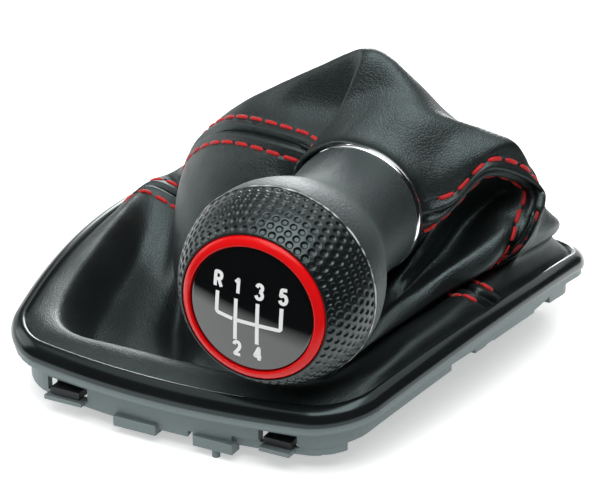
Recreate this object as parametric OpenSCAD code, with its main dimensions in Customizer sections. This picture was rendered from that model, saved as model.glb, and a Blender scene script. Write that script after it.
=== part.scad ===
// Gear shift knob on its leather gaiter, held in a clip-in console frame.
// Millimetres, +Z up. The near edge of the frame faces -Y and the knob lies forward over it,
// as it does before the lever is fitted. Z = 0 is the level on which the locating pegs stand.

/* [Console frame] */
// Length of the frame from its near edge to its far edge
frame_length = 142.5; // [138:0.5:146]
// Width of the frame across its near corners
near_width = 106.6; // [103:0.2:110]
// Width of the frame across its far corners
far_width = 139.2; // [135:0.2:143]
// Rise of the frame at mid length, seen from the side
frame_arch = 8.2; // [7.4:0.1:9]
// Depth of the skirt under the widest line of the frame
skirt_depth = 12.5; // [11.5:0.1:13.5]
// Wall thickness of the skirt
skirt_wall = 2; // [1.6:0.1:2.4]
// Length of the locating pegs under the skirt
peg_length = 3.2; // [2.4:0.1:4]

/* [Trim bead] */
// Height of the bead above its widest line
bead_height = 3.6; // [3:0.1:4.2]
// Width of the bead from its outer edge to the leather
bead_width = 4.5; // [4:0.1:4.6]

/* [Knob] */
// Diameter of the ball
ball_d = 52.8; // [52:0.2:54]
// Outer diameter of the coloured ring around the cap
ring_d = 38.8; // [38.2:0.2:39.4]
// Diameter of the glossy cap
cap_d = 33.8; // [33.2:0.2:34.2]
// Distance of the chrome ring behind the middle of the ball
neck_length = 46.8; // [46.2:0.2:47.4]
// Diameter of the chrome ring
chrome_d = 38; // [37.4:0.1:38.4]
// Diameter of the gear lever that the knob is pushed onto
lever_d = 12; // [11:0.1:13]

/* [Leather] */
// Thickness of the leather
leather_t = 1.2; // [1:0.1:1.4]

/* [Hidden] */

// Arch: every level of the frame is a cylinder across X with one common axis.
half_l = frame_length / 2;
arch_r = (half_l * half_l + frame_arch * frame_arch) / (2 * frame_arch);
arch_cz = peg_length + skirt_depth + frame_arch - arch_r;
function arch_z(y, d) = arch_cz + sqrt((arch_r + d) * (arch_r + d) - y * y);

// Plan outline of the frame, counter-clockwise from the middle of the near edge.
near_hw = near_width / 2;
far_hw = far_width / 2;
near_bow = 5.8;
far_bow = 2.9;
side_bow = 5.7;
near_r = 12.5;
far_r = 16.3;
function near_pt(x) = [x, -half_l + near_bow * pow(x / near_hw, 2)];
function far_pt(x) = [x, half_l - far_bow * pow(x / far_hw, 2)];
near_c = near_pt(near_hw);
far_c = far_pt(far_hw);
side_v = far_c - near_c;
side_len = norm(side_v);
function side_pt(t) = near_c + side_v * t + [side_v.y, -side_v.x] / side_len * side_bow * 4 * t * (1 - t);
function corner(a, c, b, t) = let (u = 1 - t, w = 0.75, s = u * u + 2 * w * t * u + t * t)
    (a * u * u + c * 2 * w * t * u + b * t * t) / s;
right_half = concat(
    [for (i = [0:7]) near_pt((near_hw - near_r) * i / 8)],
    [for (i = [0:6]) corner(near_pt(near_hw - near_r), near_c, side_pt(near_r / side_len), i / 7)],
    [for (i = [0:11]) side_pt(near_r / side_len + (1 - (near_r + far_r) / side_len) * i / 12)],
    [for (i = [0:6]) corner(side_pt(1 - far_r / side_len), far_c, far_pt(far_hw - far_r), i / 7)],
    [for (i = [0:8]) far_pt((far_hw - far_r) * (1 - i / 8))]);
n_half = len(right_half);
outline = concat(right_half, [for (i = [n_half - 2:-1:1]) [-right_half[i].x, right_half[i].y]]);
n_out = len(outline);
function unit(v) = v / norm(v);
function inward(i) = let (d = unit(outline[(i + 1) % n_out] - outline[(i + n_out - 1) % n_out])) [-d.y, d.x];
function inset_pt(i, d) = outline[i % n_out] + inward(i % n_out) * d;
module band(a, b, z0, z1) {
    translate([0, 0, z0]) linear_extrude(z1 - z0) difference() {
        polygon([for (i = [0:n_out - 1]) inset_pt(i, a)]);
        polygon([for (i = [0:n_out - 1]) inset_pt(i, b)]);
    }
}
module arch_body(d) {
    translate([0, 0, arch_cz]) rotate([0, 90, 0]) cylinder(r = arch_r + d, h = 200, center = true, $fn = 180);
}
// Ring of wall from inset a to b, between two levels of the arch.
module arch_band(a, b, d0, d1) {
    difference() {
        intersection() {
            band(a, b, -1, 45);
            arch_body(d1);
        }
        arch_body(d0);
    }
}

// Console frame: levels measured from the widest line of the bead.
flange_lo = -3;
flange_hi = -1;
skirt_in = 5;
side_depth = 9.6;
lip_x = 19;
leather_in = 4.7;
// A block seen from outside the frame, w along the wall, at height z0 to z1.
module near_block(x0, x1, y0, y1, z0, z1) {
    translate([x0, y0, z0]) cube([x1 - x0, y1 - y0, z1 - z0]);
}
module skirt_windows() {
    z = peg_length;
    near_block(-39.6, -25.8, -75, -50, z + 2.8, z + 6.6);
    near_block(26.6, 37.2, -75, -50, z + 3.4, z + 7.3);
    for (s = [-1, 1]) {
        near_block(s * 62 - 12, s * 62 + 12, -16.5, -4.6, z + 6.4, z + 12.4);
        near_block(s * 62 - 12, s * 62 + 12, 1.2, 5.2, z + 8.4, z + 11.4);
        near_block(s * 62 - 12, s * 62 + 12, 30, 41, z + 5.6, z + 10.4);
        near_block(s * 38 - 6, s * 38 + 6, 50, 75, z + 2.8, z + 6.6);
    }
    near_block(-6, 6, 50, 75, z + 2.8, z + 6.6);
    // Notches in the lower edge
    near_block(6.2, 7.6, -75, -58, z - 1, z + 2.6);
    near_block(43, 50, -75, -50, z - 1, z + 2.2);
    for (s = [-1, 1]) near_block(s * 62 - 12, s * 62 + 12, 14, 22, z - 1, z + 5.4);
}
module carrier_frame() {
    color("#3c4243") union() {
        arch_band(0.7, skirt_in + skirt_wall, flange_lo, flange_hi);
        difference() {
            union() {
                arch_band(skirt_in, skirt_in + skirt_wall, -side_depth, flange_lo + 0.4);
                // Deeper skirt along the near and the far edge
                intersection() {
                    arch_band(skirt_in, skirt_in + skirt_wall, -skirt_depth, -side_depth + 1);
                    union() {
                        near_block(-60, lip_x, -80, -56.5, -1, 30);
                        near_block(-56, 56, 58, 80, -1, 30);
                    }
                }
                // Lip that is set back right of the near tab
                intersection() {
                    arch_band(skirt_in + 0.9, skirt_in + skirt_wall + 0.6, -skirt_depth, -side_depth + 2.4);
                    near_block(lip_x - 1, 60, -80, -56.5, -1, 30);
                }
            }
            skirt_windows();
        }
        // Sills that stand out under the windows
        near_block(-38.6, -26.8, -66.6, -62.4, peg_length + 1.6, peg_length + 2.8);
        near_block(27.6, 36.4, -66.4, -62.6, peg_length + 2.2, peg_length + 3.4);
        // Hook tabs on the lower edge
        for (b = [[-16, -3, -67.6, -64.2], [8.4, 20.2, -67.4, -63.4], [-41, -28, 63.6, 66.8], [28, 41, 63.6, 66.8]])
            near_block(b[0], b[1], b[2], b[3], peg_length - 0.6, peg_length + 2.4);
        // Locating pegs
        for (p = [[14.3, -65.4], [-34, 65.2], [34, 65.2]])
            translate([p[0], p[1], 0]) cylinder(d = 2.2, h = peg_length + 1, $fn = 32);
    }
}
// Glossy bead: one rounded section swept along the outline at the height of the arch.
bead_section = [[0.9, flange_hi], [0.1, -0.7], [0, 0.2], [0.25, 1.3], [0.9, 2.4], [1.8, bead_height - 0.45],
                [2.7, bead_height], [3.5, bead_height - 0.1], [4.1, bead_height - 0.6],
                [bead_width, bead_height - 1.6], [bead_width, flange_hi]];
module trim_bead() {
    m = len(bead_section);
    pts = [for (i = [0:n_out - 1], s = bead_section) let (p = inset_pt(i, s[0])) [p.x, p.y, arch_z(p.y, s[1])]];
    faces = [for (i = [0:n_out - 1], j = [0:m - 1], k = [0, 1])
        let (next = (i + 1) % n_out, a = i * m + j, b = i * m + (j + 1) % m, c = next * m + j, d = next * m + (j + 1) % m)
        k == 0 ? [a, b, c] : [b, d, c]];
    color("#101214") polyhedron(points = pts, faces = faces, convexity = 6);
}
// Inner frame that clamps the hem of the leather and snaps into the skirt's windows.
module hem_retainer() {
    z = peg_length;
    color("#26292a") union() {
        arch_band(6.2, 8.6, flange_hi, 2);
        arch_band(7.1, 8.6, -5.5, flange_hi + 0.2);
        for (b = [[-37, -28, -65.6, -62.4, 3.2, 5.2], [28, 36, -64.6, -61, 3.8, 5.6]])
            near_block(b[0], b[1], b[2], b[3] + 2, z + b[4], z + b[5]);
        for (s = [-1, 1]) {
            near_block(s * 36 - 4, s * 36 + 4, 60, 65.2, z + 3.4, z + 5.6);
            near_block(s * 37.5 - 4, s * 37.5 + 4, 60, 62.4, z + 3.4, z + 9);
        }
        for (b = [[-37, -28, -62.4, -60.2], [28, 36, -61.6, -59.4]])
            near_block(b[0], b[1], b[2], b[3], z + 3.8, z + 9);
    }
}

// Leather: control points chosen by hand, one row of columns per line of the fold.
// Column 0 is the right seam, 5 the middle of the far edge, 11 the left seam, 16 the middle of the near edge.
// Rows run from the roll beside the bead up to the collar behind the chrome ring.
hem_u = [0.243, 0.262, 0.29, 0.344, 0.425, 0.5, 0.575, 0.602, 0.629, 0.656, 0.7, 0.741, 0.804, 0.86,
         0.922, 0.971, 1.023, 1.073, 1.135, 1.17, 1.2, 1.222, 1.243];
rows = [
    [[58, 1, 27], [60, 11, 27.5], [62, 24, 28], [61, 50, 26], [34, 61, 24], [5, 62, 24], [-26, 61, 24],
     [-36, 59, 24], [-46, 56, 23.5], [-55, 52, 23], [-61.5, 36, 26], [-59.5, 23, 28.5], [-54, -13, 24],
     [-47, -43, 19], [-36, -56, 18], [-14, -58, 18], [14, -58, 18], [36, -57, 19], [49, -45, 21.5],
     [53, -30, 24.5], [56, -15, 26], [57, -6, 27]],
    [[50.5, 9.5, 24], [54, 15, 26], [63.5, 25, 31], [64, 47, 31], [37, 55, 31], [11, 56, 32],
     [-16, 54, 33], [-26, 52.5, 32.5], [-36, 49.5, 32], [-45, 46, 31], [-55, 33.5, 31], [-49, 23, 27],
     [-45, -8, 18], [-38, -30, 12], [-26, -43, 10], [-8, -46, 10], [18, -46, 10], [33, -43, 12],
     [38, -30, 15.5], [42, -15, 18.5], [45.5, -4, 20.5], [48, 3, 22]],
    [[57.5, 18, 30], [61.5, 14, 32], [64.5, 25, 33.5], [65, 44, 33.5], [39, 51, 36], [14.5, 52, 37.5],
     [-11, 50, 39], [-21, 48.5, 38.5], [-30.5, 46, 37.5], [-39.5, 43, 36], [-50.5, 30, 34],
     [-44, 19, 27.5], [-38.5, -6.5, 15.5], [-32, -22, 10.5], [-20.5, -35.5, 9], [-5.5, -40.5, 9.5],
     [19, -40.5, 10.5], [33, -37.5, 13.5], [41, -26, 19.5], [47, -11, 23.5], [52, -0.5, 27],
     [59.5, 8.5, 31.5]],
    [[64.3, 18.5, 35.5], [66.3, 14, 38], [65.5, 26, 36.5], [65, 41, 35.5], [41, 47, 41], [18, 48, 43],
     [-6, 46, 45], [-15.5, 44.5, 44], [-25, 42.5, 42.5], [-34, 40, 41], [-46, 26, 37], [-40, 16, 29],
     [-33, -1, 14], [-26, -14, 9], [-15, -28, 8], [-3, -35, 9], [20, -35, 11], [33, -32, 15],
     [40, -21, 23.5], [45.5, -8, 28], [51.5, 2, 33], [61, 12.5, 39.5]],
    [[66.3, 21.5, 42], [68.4, 17.3, 44.5], [65.5, 28, 43], [63.5, 35, 41.5], [46, 38, 51],
     [25, 38, 55], [4, 36, 58], [-4.5, 35, 56.5], [-13.5, 33.5, 54.5], [-22, 32, 52], [-40, 22, 44],
     [-41, 15, 39], [-37, 1, 27], [-29, -13, 21], [-18, -25, 15], [-3, -28, 14], [22, -26, 15],
     [34, -24, 20], [40.5, -13, 26], [43, 0, 29], [48.5, 10.5, 33], [57, 18.5, 43]],
    [[65.3, 24, 50], [66.8, 23.5, 51.5], [64.5, 27.5, 50.5], [62, 26.5, 56], [47, 28, 61],
     [30, 27, 67], [13, 25, 73], [6, 24.5, 72], [-2, 23.5, 69], [-11, 22, 65], [-32, 17, 54],
     [-35, 11, 50], [-34, 0, 41], [-24, -13, 33], [-12, -22, 25], [3, -20, 21], [24, -18, 20],
     [35, -15, 25], [41, -6, 29.5], [44, 7, 33], [47, 18, 39], [55, 25.5, 46.5]],
    [[57, 10.5, 58], [58, 12.5, 62], [60.5, 18, 65], [53.5, 18, 67], [45, 18, 67.5], [33.5, 15, 78.5],
     [24, 13.5, 86], [18.8, 12, 87], [12.5, 13.4, 84], [-2, 12, 76], [-18, 11, 66], [-20, 3, 60],
     [-20, -5, 52], [-12, -13, 43], [-3, -16, 33], [9, -13, 27], [26, -10, 25], [36, -8, 29],
     [41, -4.5, 33], [44.5, 3, 37.5], [47, 11, 45], [53, 17, 52.5]],
    [[50.3, 1.5, 50], [50.8, 3, 54], [52.5, 6.5, 62], [48.5, 10, 68.5], [41.5, 8, 73], [34.5, 6.5, 76],
     [25.5, 6, 77], [15.8, 2.5, 72.5], [16.5, 7, 70], [0, 6, 68], [-2, 3, 65.5], [-1, -2, 62],
     [-2, -7, 55], [1, -10, 47], [6, -8, 39], [15, -6, 31], [27, -6, 28], [36, -4, 31], [40, -3.5, 34],
     [43.5, -1.5, 38.5], [45.6, 0, 42], [47.6, 1.5, 46]]
];
// Angle, radius and height of the leather around the knob, one entry per column: where it draws in behind
// the chrome ring, and its rim on the collar. From column 6 to 12 a fold lies forward over the ring.
throat = [[-4, 19, -4.5], [6, 18.8, -5], [20, 18.6, -5], [38, 18.6, -5], [58, 18.6, -5],
          [82, 18.6, -5], [108, 19.6, -4.2], [132, 21.2, -2.6], [134.5, 19.8, -4.2],
          [136.5, 19.6, -4.4], [139, 19.6, -4.5], [143, 19.6, -4.6], [168, 19.2, -5], [193, 18.6, -5],
          [218, 18.6, -5], [243, 18.6, -5], [268, 18.6, -5], [290, 18.6, -5], [309, 18.6, -5],
          [324, 18.6, -5], [337, 18.6, -5], [342, 19, -4.8], [356, 19, -4.5]];
rim = [[0, 18.2, 0], [8, 18.2, 0], [20, 18.2, 0], [38, 18.2, 0], [60, 18.2, 0], [84, 18.4, 0],
       [110, 20.2, 1.5], [138, 20.4, 4.8], [142, 20.4, 4.2], [144.5, 20.4, 3.8], [147, 20.3, 3.2],
       [151, 20.3, 2.4], [171, 19.6, -0.2], [193, 18.2, 0], [218, 18.2, 0], [243, 18.2, 0],
       [268, 18.2, 0], [290, 18.2, 0], [309, 18.2, 0], [324, 18.2, 0], [337, 18.2, 0], [348, 18.2, 0],
       [360, 18.2, 0]];
n_col = 22;
left_seam = 11;
col_step = 3;
row_step = 3;

// Knob placement: middle of the ball and the way its cap faces.
ball_pos = [30, -57.8, 47.6 + peg_length];
knob_yaw = 3.7;
knob_dip = 1.3;
module place_knob() {
    translate(ball_pos) rotate([90 + knob_dip, 0, knob_yaw]) children();
}
cap_dir = [sin(knob_yaw) * cos(knob_dip), -cos(knob_yaw) * cos(knob_dip), -sin(knob_dip)];
right_dir = [cos(knob_yaw), sin(knob_yaw), 0];
up_dir = cross(right_dir, -cap_dir);
collar_h = -neck_length - 3.1;
function collar_pt(c) = ball_pos + cap_dir * (collar_h + c[2])
    + (right_dir * cos(c[0]) + up_dir * sin(c[0])) * c[1];

// Curve through points: value between b and c at t.
function curve(a, b, c, d, t) = (2 * b + (c - a) * t + (2 * a - 5 * b + 4 * c - d) * t * t
    + (3 * b - a - 3 * c + d) * t * t * t) / 2;
function mid_row(row, t) = let (i = floor(t), f = t - i, n = n_col)
    curve(row[(i + n - 1) % n], row[i % n], row[(i + 1) % n], row[(i + 2) % n], f) + [0, 0, peg_length];
function lerp_list(l, t) = let (i = min(floor(t), len(l) - 2)) l[i] + (l[i + 1] - l[i]) * (t - i);
function out_step(i) = norm(outline[(i + 1) % n_out] - outline[i % n_out]);
out_s = [for (i = 0, s = 0; i <= n_out; s = s + out_step(i), i = i + 1) s];
out_x = [for (i = [0:n_out]) [out_s[i] / out_s[n_out], inset_pt(i, leather_in).x]];
out_y = [for (i = [0:n_out]) [out_s[i] / out_s[n_out], inset_pt(i, leather_in).y]];
function hem_pt(u, d) = let (v = u - floor(u), x = lookup(v, out_x), y = lookup(v, out_y)) [x, y, arch_z(y, d)];
function column(t) = let (u = lerp_list(hem_u, t))
    concat([hem_pt(u, flange_hi + 0.1), hem_pt(u, 2.4)], [for (r = rows) mid_row(r, t)],
           [collar_pt(lerp_list(throat, t)), collar_pt(lerp_list(rim, t))]);
n_row = len(rows) + 4;
function along(c, t) = let (i = min(floor(t), n_row - 2), f = t - i)
    curve(c[max(i - 1, 0)], c[i], c[i + 1], c[min(i + 2, n_row - 1)], f);
grid_c = n_col * col_step;
grid_r = (n_row - 1) * row_step;
grid = [for (j = [0:grid_c - 1]) let (c = column(j / col_step)) [for (i = [0:grid_r]) along(c, i / row_step)]];
function g(j, i) = grid[(j + grid_c) % grid_c][i];
function across(j, i) = unit(g(j + 1, i) - g(j - 1, i));
function upward(j, i) = unit(g(j, min(i + 1, grid_r)) - g(j, max(i - 1, 0)));
function normal(j, i) = unit(cross(across(j, i), upward(j, i)));
function smooth_n(j, i) = unit(normal(j, i) * 2 + normal(j - 1, i) + normal(j + 1, i)
    + normal(j, max(i - 1, 0)) + normal(j, min(i + 1, grid_r)));
inner = [for (j = [0:grid_c - 1]) [for (i = [0:grid_r]) g(j, i) - smooth_n(j, i) * leather_t]];
// One leather panel from column j0 to j1: the outer face, the inner face and the four cut edges.
module panel(j0, j1) {
    nc = j1 - j0 + 1;
    nr = grid_r + 1;
    o = nc * nr;
    pts = concat([for (j = [j0:j1], i = [0:grid_r]) g(j, i)],
                 [for (j = [j0:j1], i = [0:grid_r]) inner[(j + grid_c) % grid_c][i]]);
    function at(j, i) = j * nr + i;
    function quad(a, b, c, d) = [[a, b, c], [a, c, d]];
    faces = concat(
        [for (j = [0:nc - 2], i = [0:nr - 2]) each quad(at(j, i), at(j, i + 1), at(j + 1, i + 1), at(j + 1, i))],
        [for (j = [0:nc - 2], i = [0:nr - 2])
            each quad(o + at(j, i), o + at(j + 1, i), o + at(j + 1, i + 1), o + at(j, i + 1))],
        [for (j = [0:nc - 2]) each quad(at(j, 0), at(j + 1, 0), o + at(j + 1, 0), o + at(j, 0))],
        [for (j = [0:nc - 2])
            each quad(at(j, nr - 1), o + at(j, nr - 1), o + at(j + 1, nr - 1), at(j + 1, nr - 1))],
        [for (i = [0:nr - 2]) each quad(i, o + i, o + i + 1, i + 1)],
        [for (i = [0:nr - 2])
            each quad(at(nc - 1, i), at(nc - 1, i + 1), o + at(nc - 1, i + 1), o + at(nc - 1, i))]);
    polyhedron(points = pts, faces = faces, convexity = 12);
}
module gaiter_rear() { color("#202324") panel(0, left_seam * col_step); }
module gaiter_front() { color("#2a2d2f") panel(left_seam * col_step, n_col * col_step); }

// Knob: sections below are [radius, height], height along the way the cap faces, 0 at the middle of the ball.
ball_r = ball_d / 2;
shell_t = 2.4;
belt_top = 17.2;
belt_end = 3;
function arc_pts(r, h0, h1, n) = [for (i = [0:n])
    let (a0 = asin(h0 / r), a = a0 + (asin(h1 / r) - a0) * i / n) [r * cos(a), r * sin(a)]];
module dimpled_grip() {
    color("#232627") place_knob() rotate_extrude($fn = 96)
        polygon(concat(arc_pts(ball_r, belt_end, belt_top, 12),
                       [[ring_d / 2 + 0.1, belt_top], [ring_d / 2 + 0.1, belt_top - 2.4]],
                       arc_pts(ball_r - shell_t, 13.2, belt_end, 9)));
}
neck_r = chrome_d / 2 - 0.5;
// Rear part of the ball and the neck in one shell, drawn from the part line to the chrome ring.
module neck_cover() {
    e = -neck_length;
    color("#2b2e2f") place_knob() rotate_extrude($fn = 96)
        polygon(concat([[ball_r - shell_t, belt_end], [ball_r - 0.45, belt_end], [ball_r - 0.1, belt_end - 0.5]],
                       arc_pts(ball_r, 1.6, -6, 5),
                       [[24.7, -9.4], [23.3, -13], [21.5, -16.8], [19.9, -20.4], [18.8, -24], [18.2, -27.8],
                        [17.95, -31.6], [17.95, -36.2], [18.1, -40.8], [neck_r - 0.1, e + 2], [neck_r, e], [16, e],
                        [15.7, -31.6], [16.5, -24], [19, -18.3], [21.4, -13.8], [23, -9], [24, -2]]));
}
module chrome_ring() {
    e = -neck_length;
    r = chrome_d / 2;
    color("#d9dcdd") place_knob() rotate_extrude($fn = 96)
        polygon([[15.4, e], [r - 0.6, e], [r - 0.15, e - 0.5], [r, e - 1.2], [r, e - 2], [r - 0.2, e - 2.6],
                 [r - 0.7, e - 3], [15.4, e - 3]]);
}
module gaiter_collar() {
    e = collar_h + 0.1;
    color("#17191a") place_knob() difference() {
        rotate_extrude($fn = 96)
            polygon([[10, e], [16.8, e], [16.8, e - 3.6], [16.3, e - 4.2], [16.3, e - 5.4], [13.4, e - 5.4],
                     [13.4, e - 1.8], [10, e - 1.8]]);
        for (a = [0:60:300]) rotate([0, 0, a + 30]) translate([12.6, -1.6, e - 8]) cube([6, 3.2, 6]);
    }
}
bush_r = lever_d / 2 + 2;
module knob_core() {
    r = ball_r - shell_t - 0.1;
    color("#4a4f50") place_knob() difference() {
        union() {
            cylinder(r = 11.2, h = 15.9, $fn = 64);
            translate([0, 0, -neck_length - 3]) cylinder(r = 10, h = neck_length + 3.5, $fn = 64);
            intersection() {
                sphere(r = r, $fn = 96);
                union() {
                    translate([0, 0, 11.2]) cylinder(r = r, h = 2, $fn = 96);
                    translate([0, 0, -4]) cylinder(r = r, h = 2, $fn = 96);
                    for (a = [0:60:300]) rotate([0, 0, a]) translate([9, -1, -12]) cube([r, 2, 25]);
                }
            }
            // Shoulder under the coloured ring
            translate([0, 0, 12.8]) cylinder(r = 18.4, h = 1.9, $fn = 96);
            // Discs that carry the neck and the chrome ring
            translate([0, 0, -30.8]) cylinder(r = 15.6, h = 2, $fn = 96);
            translate([0, 0, -neck_length - 3]) cylinder(r = 15.3, h = 6, $fn = 96);
            for (a = [0:60:300]) rotate([0, 0, a]) translate([9, -1, -neck_length]) cube([6, 2, 20]);
        }
        translate([0, 0, -80]) cylinder(r = bush_r, h = 86, $fn = 64);
        // Pockets for the legs of the cap
        for (a = [30:120:270]) rotate([0, 0, a]) translate([12.4, -3.2, 7.6]) cube([3, 6.4, 10]);
    }
}
module lever_bush() {
    color("#8c8f90") place_knob() difference() {
        union() {
            translate([0, 0, -66]) cylinder(r = bush_r - 0.05, h = 72, $fn = 64);
            translate([0, 0, -neck_length - 5.2]) cylinder(r = bush_r + 1.6, h = 2, $fn = 64);
        }
        translate([0, 0, -70]) cylinder(r = lever_d / 2, h = 74, $fn = 64);
        for (a = [0, 90]) rotate([0, 0, a]) translate([-15, -0.6, -67]) cube([30, 1.2, 10]);
    }
}
module lever_clamp() {
    color("#b9bcbe") place_knob() difference() {
        union() {
            translate([0, 0, -64]) cylinder(r = bush_r + 0.9, h = 6, $fn = 64);
            translate([bush_r - 0.4, -2.4, -64]) cube([3.6, 4.8, 6]);
        }
        translate([0, 0, -65]) cylinder(r = bush_r - 0.02, h = 8, $fn = 64);
        translate([bush_r - 1, -1.5, -65]) cube([3.1, 3, 8]);
    }
}
module accent_ring() {
    r = ring_d / 2;
    q = cap_d / 2;
    color("#c8102a") place_knob() rotate_extrude($fn = 96)
        polygon([[q + 0.05, 14.8], [r, 14.8], [r, 16.9], [r - 0.12, 17.4], [r - 0.5, 17.9], [r - 1.1, 18.35],
                 [r - 1.8, 18.65], [q + 0.35, 18.75], [q + 0.12, 18.6], [q + 0.05, 18.3]]);
}
// Cap: a disc with a domed front and three snap legs behind it.
cap_edge = 18.1;
cap_rise = 1.4;
dome_r = (cap_d * cap_d / 4 + cap_rise * cap_rise) / (2 * cap_rise);
module cap_plate() {
    q = cap_d / 2;
    color("#0b0c0d") place_knob() {
        intersection() {
            translate([0, 0, 16]) cylinder(r = q, h = 6, $fn = 96);
            translate([0, 0, cap_edge + cap_rise - dome_r]) sphere(r = dome_r, $fn = 180);
        }
        for (a = [30:120:270]) rotate([0, 0, a]) {
            translate([12.8, -3, 8.4]) cube([1.4, 6, 7.8]);
            translate([13.4, -3, 8.4]) cube([1.4, 6, 1.2]);
        }
    }
}

carrier_frame();
trim_bead();
hem_retainer();
gaiter_front();
gaiter_rear();
gaiter_collar();
chrome_ring();
neck_cover();
dimpled_grip();
knob_core();
lever_bush();
lever_clamp();
accent_ring();
cap_plate();
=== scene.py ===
import math
import bpy
import numpy as np
from mathutils import Matrix, Vector, noise


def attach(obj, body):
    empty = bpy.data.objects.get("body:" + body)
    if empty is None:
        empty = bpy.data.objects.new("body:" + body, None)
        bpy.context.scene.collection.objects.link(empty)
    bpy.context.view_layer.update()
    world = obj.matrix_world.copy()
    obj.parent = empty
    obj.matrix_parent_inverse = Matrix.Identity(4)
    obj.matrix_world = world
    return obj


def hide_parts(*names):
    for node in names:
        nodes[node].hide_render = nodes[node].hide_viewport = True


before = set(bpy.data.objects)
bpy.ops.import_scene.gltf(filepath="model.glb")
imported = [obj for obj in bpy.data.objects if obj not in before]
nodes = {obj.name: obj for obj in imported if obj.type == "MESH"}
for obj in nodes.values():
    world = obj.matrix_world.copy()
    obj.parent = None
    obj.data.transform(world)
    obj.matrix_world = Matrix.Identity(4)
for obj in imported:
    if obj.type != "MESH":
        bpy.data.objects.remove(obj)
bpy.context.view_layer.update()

# Gear shift knob on its folded leather gaiter. Lengths in the dictionaries are millimetres.
mm = 0.001
print("frame loaded with", len(nodes), "nodes")


# Small helpers

def addObject(name, mesh, material=None, body="root"):
    piece = bpy.data.objects.new(name, mesh)
    bpy.context.scene.collection.objects.link(piece)
    if material:
        mesh.materials.append(material)
    if body:
        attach(piece, body)
    return piece


def meshFrom(name, points, faces, smooth=True):
    mesh = bpy.data.meshes.new(name)
    mesh.from_pydata([tuple(p) for p in points], [], faces)
    mesh.update()
    if smooth:
        mesh.polygons.foreach_set("use_smooth", [True] * len(mesh.polygons))
    return mesh


def gridFaces(rows, cols, closeRows=False, closeCols=False, flip=False):
    faces = []
    for i in range(rows if closeRows else rows - 1):
        for j in range(cols if closeCols else cols - 1):
            a = i * cols + j
            b = i * cols + (j + 1) % cols
            c = ((i + 1) % rows) * cols + (j + 1) % cols
            d = ((i + 1) % rows) * cols + j
            faces.append((a, d, c, b) if flip else (a, b, c, d))
    return faces


def spline(before, start, end, after, t):  # Catmull-Rom between start and end
    return ((2 * start) + (end - before) * t + (2 * before - 5 * start + 4 * end - after) * t * t
            + (3 * start - before - 3 * end + after) * t * t * t) / 2


def smoothProfile(points, steps):
    pts = np.array(points, float)
    out = []
    for i in range(len(pts) - 1):
        before = pts[max(i - 1, 0)]
        after = pts[min(i + 2, len(pts) - 1)]
        for k in range(steps):
            out.append(spline(before, pts[i], pts[i + 1], after, k / steps))
    out.append(pts[-1])
    return np.array(out)


# Materials

def newMaterial(name, look):
    material = bpy.data.materials.new(name)
    material.use_nodes = True
    shader = material.node_tree.nodes["Principled BSDF"]
    for socket, value in look.items():
        shader.inputs[socket].default_value = value
    return material, material.node_tree, shader


def objectCoords(tree):
    return tree.nodes.new("ShaderNodeTexCoord").outputs["Object"]


def noiseNode(tree, sizeMm, detail=3.0, rough=0.55, coords=None):
    node = tree.nodes.new("ShaderNodeTexNoise")
    node.inputs["Scale"].default_value = 1000.0 / sizeMm
    node.inputs["Detail"].default_value = detail
    node.inputs["Roughness"].default_value = rough
    tree.links.new(coords or objectCoords(tree), node.inputs["Vector"])
    return node


def rangeNode(tree, source, low, high, outLow, outHigh):
    node = tree.nodes.new("ShaderNodeMapRange")
    for socket, value in (("From Min", low), ("From Max", high), ("To Min", outLow), ("To Max", outHigh)):
        node.inputs[socket].default_value = value
    tree.links.new(source, node.inputs["Value"])
    return node.outputs["Result"]


def rampNode(tree, source, stops):
    node = tree.nodes.new("ShaderNodeValToRGB")
    ramp = node.color_ramp
    while len(ramp.elements) < len(stops):
        ramp.elements.new(0.5)
    for element, (place, colour) in zip(ramp.elements, stops):
        element.position = place
        element.color = (*colour, 1)
    tree.links.new(source, node.inputs["Fac"])
    return node.outputs["Color"]


def bumpNode(tree, source, depthMm, strength=1.0, under=None):
    node = tree.nodes.new("ShaderNodeBump")
    node.inputs["Distance"].default_value = depthMm * mm
    node.inputs["Strength"].default_value = strength
    tree.links.new(source, node.inputs["Height"])
    if under:
        tree.links.new(under, node.inputs["Normal"])
    return node.outputs["Normal"]


def leatherMaterial(look):
    material, tree, shader = newMaterial("stitchedLeather", look["shader"])
    coords = objectCoords(tree)
    cells = tree.nodes.new("ShaderNodeTexVoronoi")
    cells.feature = "DISTANCE_TO_EDGE"
    cells.inputs["Scale"].default_value = 1000.0 / look["grainMm"]
    wobble = noiseNode(tree, look["grainMm"] * 2.2, 2.0, 0.5, coords)
    push = tree.nodes.new("ShaderNodeVectorMath")
    push.operation = "MULTIPLY_ADD"
    push.inputs[1].default_value = (look["grainMm"] * mm * 0.9,) * 3
    tree.links.new(wobble.outputs["Color"], push.inputs[0])
    tree.links.new(coords, push.inputs[2])
    tree.links.new(push.outputs["Vector"], cells.inputs["Vector"])
    pebble = rangeNode(tree, cells.outputs["Distance"], 0.0, 0.22, 0.0, 1.0)
    crease = noiseNode(tree, look["creaseMm"], 5.0, 0.6, coords)
    patch = noiseNode(tree, look["patchMm"], 3.0, 0.5, coords)
    tree.links.new(rampNode(tree, patch.outputs["Fac"], look["colours"]), shader.inputs["Base Color"])
    rough = rangeNode(tree, patch.outputs["Fac"], 0.3, 0.7, *look["roughness"])
    tree.links.new(rough, shader.inputs["Roughness"])
    fine = bumpNode(tree, pebble, look["grainDepthMm"], 0.8)
    creased = bumpNode(tree, crease.outputs["Fac"], look["creaseDepthMm"], 0.6, fine)
    tree.links.new(creased, shader.inputs["Normal"])
    return material


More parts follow.
